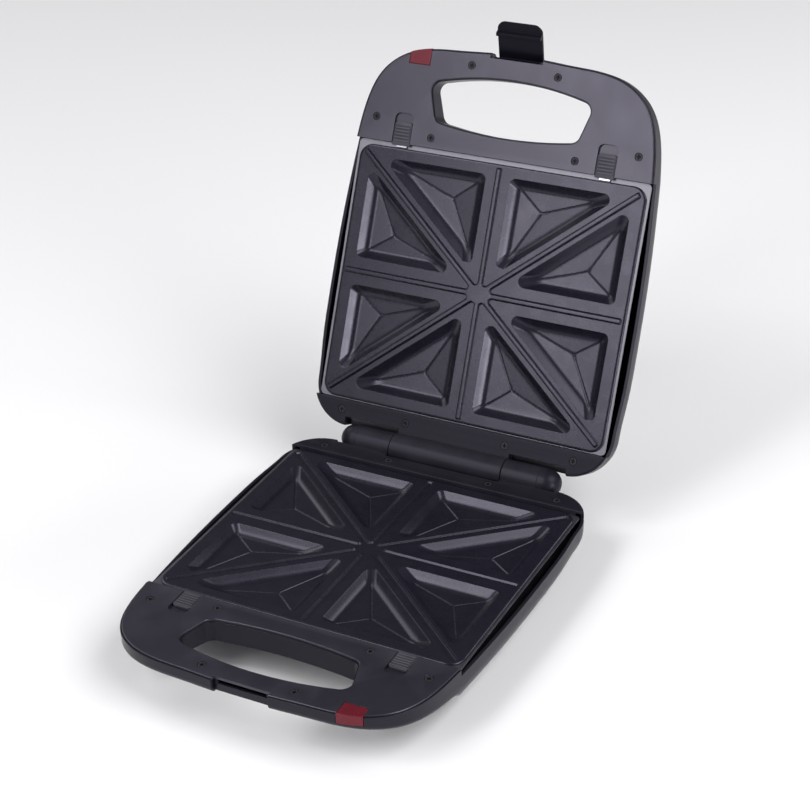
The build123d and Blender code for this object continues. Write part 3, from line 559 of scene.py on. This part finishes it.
def build_plate(half):
    is_base = half == "base"
    verts, faces, land = [], [], []
    keys = {}

    def vertex(p):
        key = (round(p[0], 4), round(p[1], 4), round(p[2], 4))
        if key not in keys:
            keys[key] = len(verts)
            verts.append([float(p[0]), float(p[1]), float(p[2])])
        return keys[key]

    # pockets
    rims = []
    for points, apex in POCKETS:
        pv, pf, n = pocket_mesh(points, apex)
        for sx in (1, -1):
            for sv in (1, -1):
                q = pv.copy()
                q[:, 0] *= sx
                q[:, 1] = STAR_V + sv * (q[:, 1] - STAR_V)
                ids = [vertex(p) for p in q]
                for f in pf:
                    g = [ids[i] for i in f]
                    if sx * sv < 0:
                        g.reverse()
                    if len(set(g)) == len(g):
                        faces.append(g)
                rims.append(q[:n])
    # star
    if is_base:
        steps = [(2.8, 0), (2.68, -0.05), (2.55, -0.18), (2.3, -0.5), (1.9, -1.05), (1.75, -1.24), (1.58, -1.35), (1.35, -1.4)]
    else:
        steps = [(2.8, 0), (2.66, 0.03), (2.54, 0.14), (2.4, 0.4), (1.55, 1.75), (1.44, 1.96), (1.28, 2.12), (1.05, 2.2)]
    loops = star_loops(steps)
    rings = [[vertex(p) for p in loop] for loop in loops]
    for a, b in zip(rings, rings[1:]):
        for i in range(len(a)):
            j = (i + 1) % len(a)
            faces.append([a[i], a[j], b[j], b[i]])
    # cap of the star
    pts, tris = cdt([loops[-1]])
    centres = np.array([pts[list(t)].mean(axis=0) for t in tris])
    for t, keep in zip(tris, inside(loops[-1], centres)):
        if keep:
            faces.append([vertex((*pts[i], steps[-1][1])) for i in t])
    # land
    edge = plate_outline(EDGE_W, 0.0)
    pts, tris = cdt([edge, loops[0], *rims])
    centres = np.array([pts[list(t)].mean(axis=0) for t in tris])
    keep = inside(edge, centres) & ~inside(loops[0], centres)
    for rim in rims:
        keep &= ~inside(rim, centres)
    for t, k in zip(tris, keep):
        if k:
            ids = [vertex((*pts[i], 0.0)) for i in t]
            if len(set(ids)) == 3:
                faces.append(ids)
                land += ids
    top_count = len(verts)
    top_faces = [list(f) for f in faces]
    # underside, the same skin a sheet's thickness lower, flat under the star's ridges
    under = [len(verts) + i for i in range(top_count)]
    for x, v, h in list(verts):
        verts.append([x, v, (min(h, 0.0) if not is_base else h) - SHEET_T])
    for f in top_faces:
        faces.append([under[i] for i in reversed(f)])
    # rolled outer edge
    def ring(inset, h):
        start = len(verts)
        for p in plate_outline(inset, h):
            verts.append([float(x) for x in p])
        return list(range(start, len(verts)))

    chain = [[vertex(p) for p in edge]]
    for t in (15, 30, 45, 60, 75, 90):
        a = math.radians(t)
        chain.append(ring(EDGE_W * (1 - math.sin(a)), -EDGE_R * (1 - math.cos(a))))
    chain.append(ring(0.0, -SHEET_T + 0.15))
    chain.append(ring(0.15, -SHEET_T))
    chain.append([under[i] for i in chain[0]])
    for a, b in zip(chain, chain[1:]):
        for i in range(len(a)):
            j = (i + 1) % len(a)
            faces.append([b[i], b[j], a[j], a[i]])
    verts = np.array(verts)

    # every face of the skin must wind the same way: up on top
    world = to_world(half, verts)
    flat = set(land) | {under[i] for i in land}
    normals = np.zeros_like(world)
    for f in faces:
        p = world[f]
        n = np.zeros(3)
        for i in range(1, len(f) - 1):
            n += np.cross(p[i] - p[0], p[i + 1] - p[0])
        for i in f:
            normals[i] += n
    up = HALVES[half][1][2]
    for i in set(land):
        normals[i] = up
        normals[under[i]] = -up
    normals /= np.maximum(np.linalg.norm(normals, axis=1), 1e-12)[:, None]

    # tabs that the catches hold
    for s in (-1, 1):
        x0, x1, v0, v1, h0, h1 = s * 92 - 5, s * 92 + 5, 211.6, 215.6, -1.45, -0.6
        c = 0.35
        section = [(v0, h0), (v1 - c, h0), (v1, h0 + c), (v1, h1 - c), (v1 - c, h1), (v0, h1)]
        start = len(verts)
        tab = [(x, v, h) for x in (x0, x1) for v, h in section]
        verts = np.vstack([verts, tab])
        m = len(section)
        first = list(range(start, start + m))
        second = list(range(start + m, start + 2 * m))
        new = [first[::1], second[::-1]]
        for i in range(m):
            j = (i + 1) % m
            new.append([first[j], first[i], second[i], second[j]])
        # wind outwards
        middle = np.mean(tab, axis=0)
        for f in new:
            q = verts[f]
            n = np.cross(q[1] - q[0], q[2] - q[0])
            if n @ (q.mean(axis=0) - middle) < 0:
                f.reverse()
            faces.append(f)
    world = to_world(half, verts)
    count = len(normals)
    mesh = bpy.data.meshes.new(f"{half}_plate")
    mesh.from_pydata([tuple(p) for p in world], [], faces)
    mesh.polygons.foreach_set("use_smooth", [all(i < count for i in f) for f in faces])
    mesh.update()
    padded = np.vstack([normals, np.zeros((len(world) - count, 3))])
    for poly in mesh.polygons:
        if not poly.use_smooth:
            for i in poly.vertices:
                padded[i] = poly.normal
    loop_normals = []
    for poly in mesh.polygons:
        for i in poly.vertices:
            loop_normals.append(tuple(padded[i]) if poly.use_smooth else tuple(poly.normal))
    mesh.normals_split_custom_set(loop_normals)
    obj = bpy.data.objects.new(f"{half}_plate_surface", mesh)
    scene.collection.objects.link(obj)
    mesh.materials.append(MATERIALS["nonstick"])
    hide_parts(f"{half}_cooking_plate")
    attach(obj, f"{half}_cooking_plate")
    return obj


for half in HALVES:
    build_plate(half)


# ---------------------------------------------------------------------------
# Floor and light
# ---------------------------------------------------------------------------
def make_floor():
    mesh = bpy.data.meshes.new("floor")
    mesh.from_pydata([(-6, -6, 0), (6, -6, 0), (6, 6, 0), (-6, 6, 0)], [], [(0, 1, 2, 3)])
    obj = bpy.data.objects.new("floor", mesh)
    scene.collection.objects.link(obj)
    mat = bpy.data.materials.new("floor")
    mat.use_nodes = True
    bsdf = mat.node_tree.nodes["Principled BSDF"]
    bsdf.inputs["Base Color"].default_value = (0.86, 0.86, 0.87, 1)
    bsdf.inputs["Roughness"].default_value = 0.9
    bsdf.inputs["Specular IOR Level"].default_value = 0.2
    mesh.materials.append(mat)


def softbox(name, place, look, size, power, spread=180.0):
    """Rectangular soft light at place, facing look."""
    data = bpy.data.lights.new(name, "AREA")
    data.shape = "RECTANGLE"
    data.size, data.size_y = size
    data.energy = power
    data.spread = math.radians(spread)
    obj = bpy.data.objects.new(name, data)
    obj.location = place
    obj.rotation_mode = "QUATERNION"
    obj.rotation_quaternion = (Vector(look) - Vector(place)).to_track_quat("-Z", "Y")
    scene.collection.objects.link(obj)
    return obj


make_floor()
AIM = (0.0, 0.05, 0.18)


def studio(name, azimuth, elevation, distance, size, radiance):
    """Softbox seen from the object at an azimuth, to the right of its front, and an elevation."""
    a, e = math.radians(azimuth), math.radians(elevation)
    place = Vector(AIM) + distance * Vector((math.sin(a) * math.cos(e), -math.cos(a) * math.cos(e), math.sin(e)))
    return softbox(name, place, AIM, size, radiance * math.pi * size[0] * size[1])


# key: upright box in front, to the left, that the lid's flat faces mirror
studio("key", -20, 31, 2.7, (0.56, 1.60), 8.6)
# upper left box, in the far walls of the pockets
studio("upper_left", -39, 51, 2.9, (0.95, 1.00), 7.5)
# low card on the right, along the rims and edges that face it
studio("side", 64, 6, 2.4, (0.90, 0.60), 16.0)
# large box high on the right, for the floor and the right side of the covers
studio("right", 84, 47, 3.1, (2.3, 1.9), 5.4)
# weaker box on the left, and one behind on the right
studio("left", -102, 38, 3.0, (2.0, 1.6), 2.2)
studio("rear", 148, 28, 2.8, (0.90, 0.70), 5.0)

world = bpy.data.worlds.new("studio")
scene.world = world
world.use_nodes = True
background = world.node_tree.nodes["Background"]
background.inputs["Color"].default_value = (0.95, 0.94, 1.0, 1)
background.inputs["Strength"].default_value = 0.15

scene.view_settings.view_transform = "Standard"
scene.view_settings.look = "None"
scene.view_settings.exposure = 0.0
scene.view_settings.gamma = 1.0

bpy.context.view_layer.update()
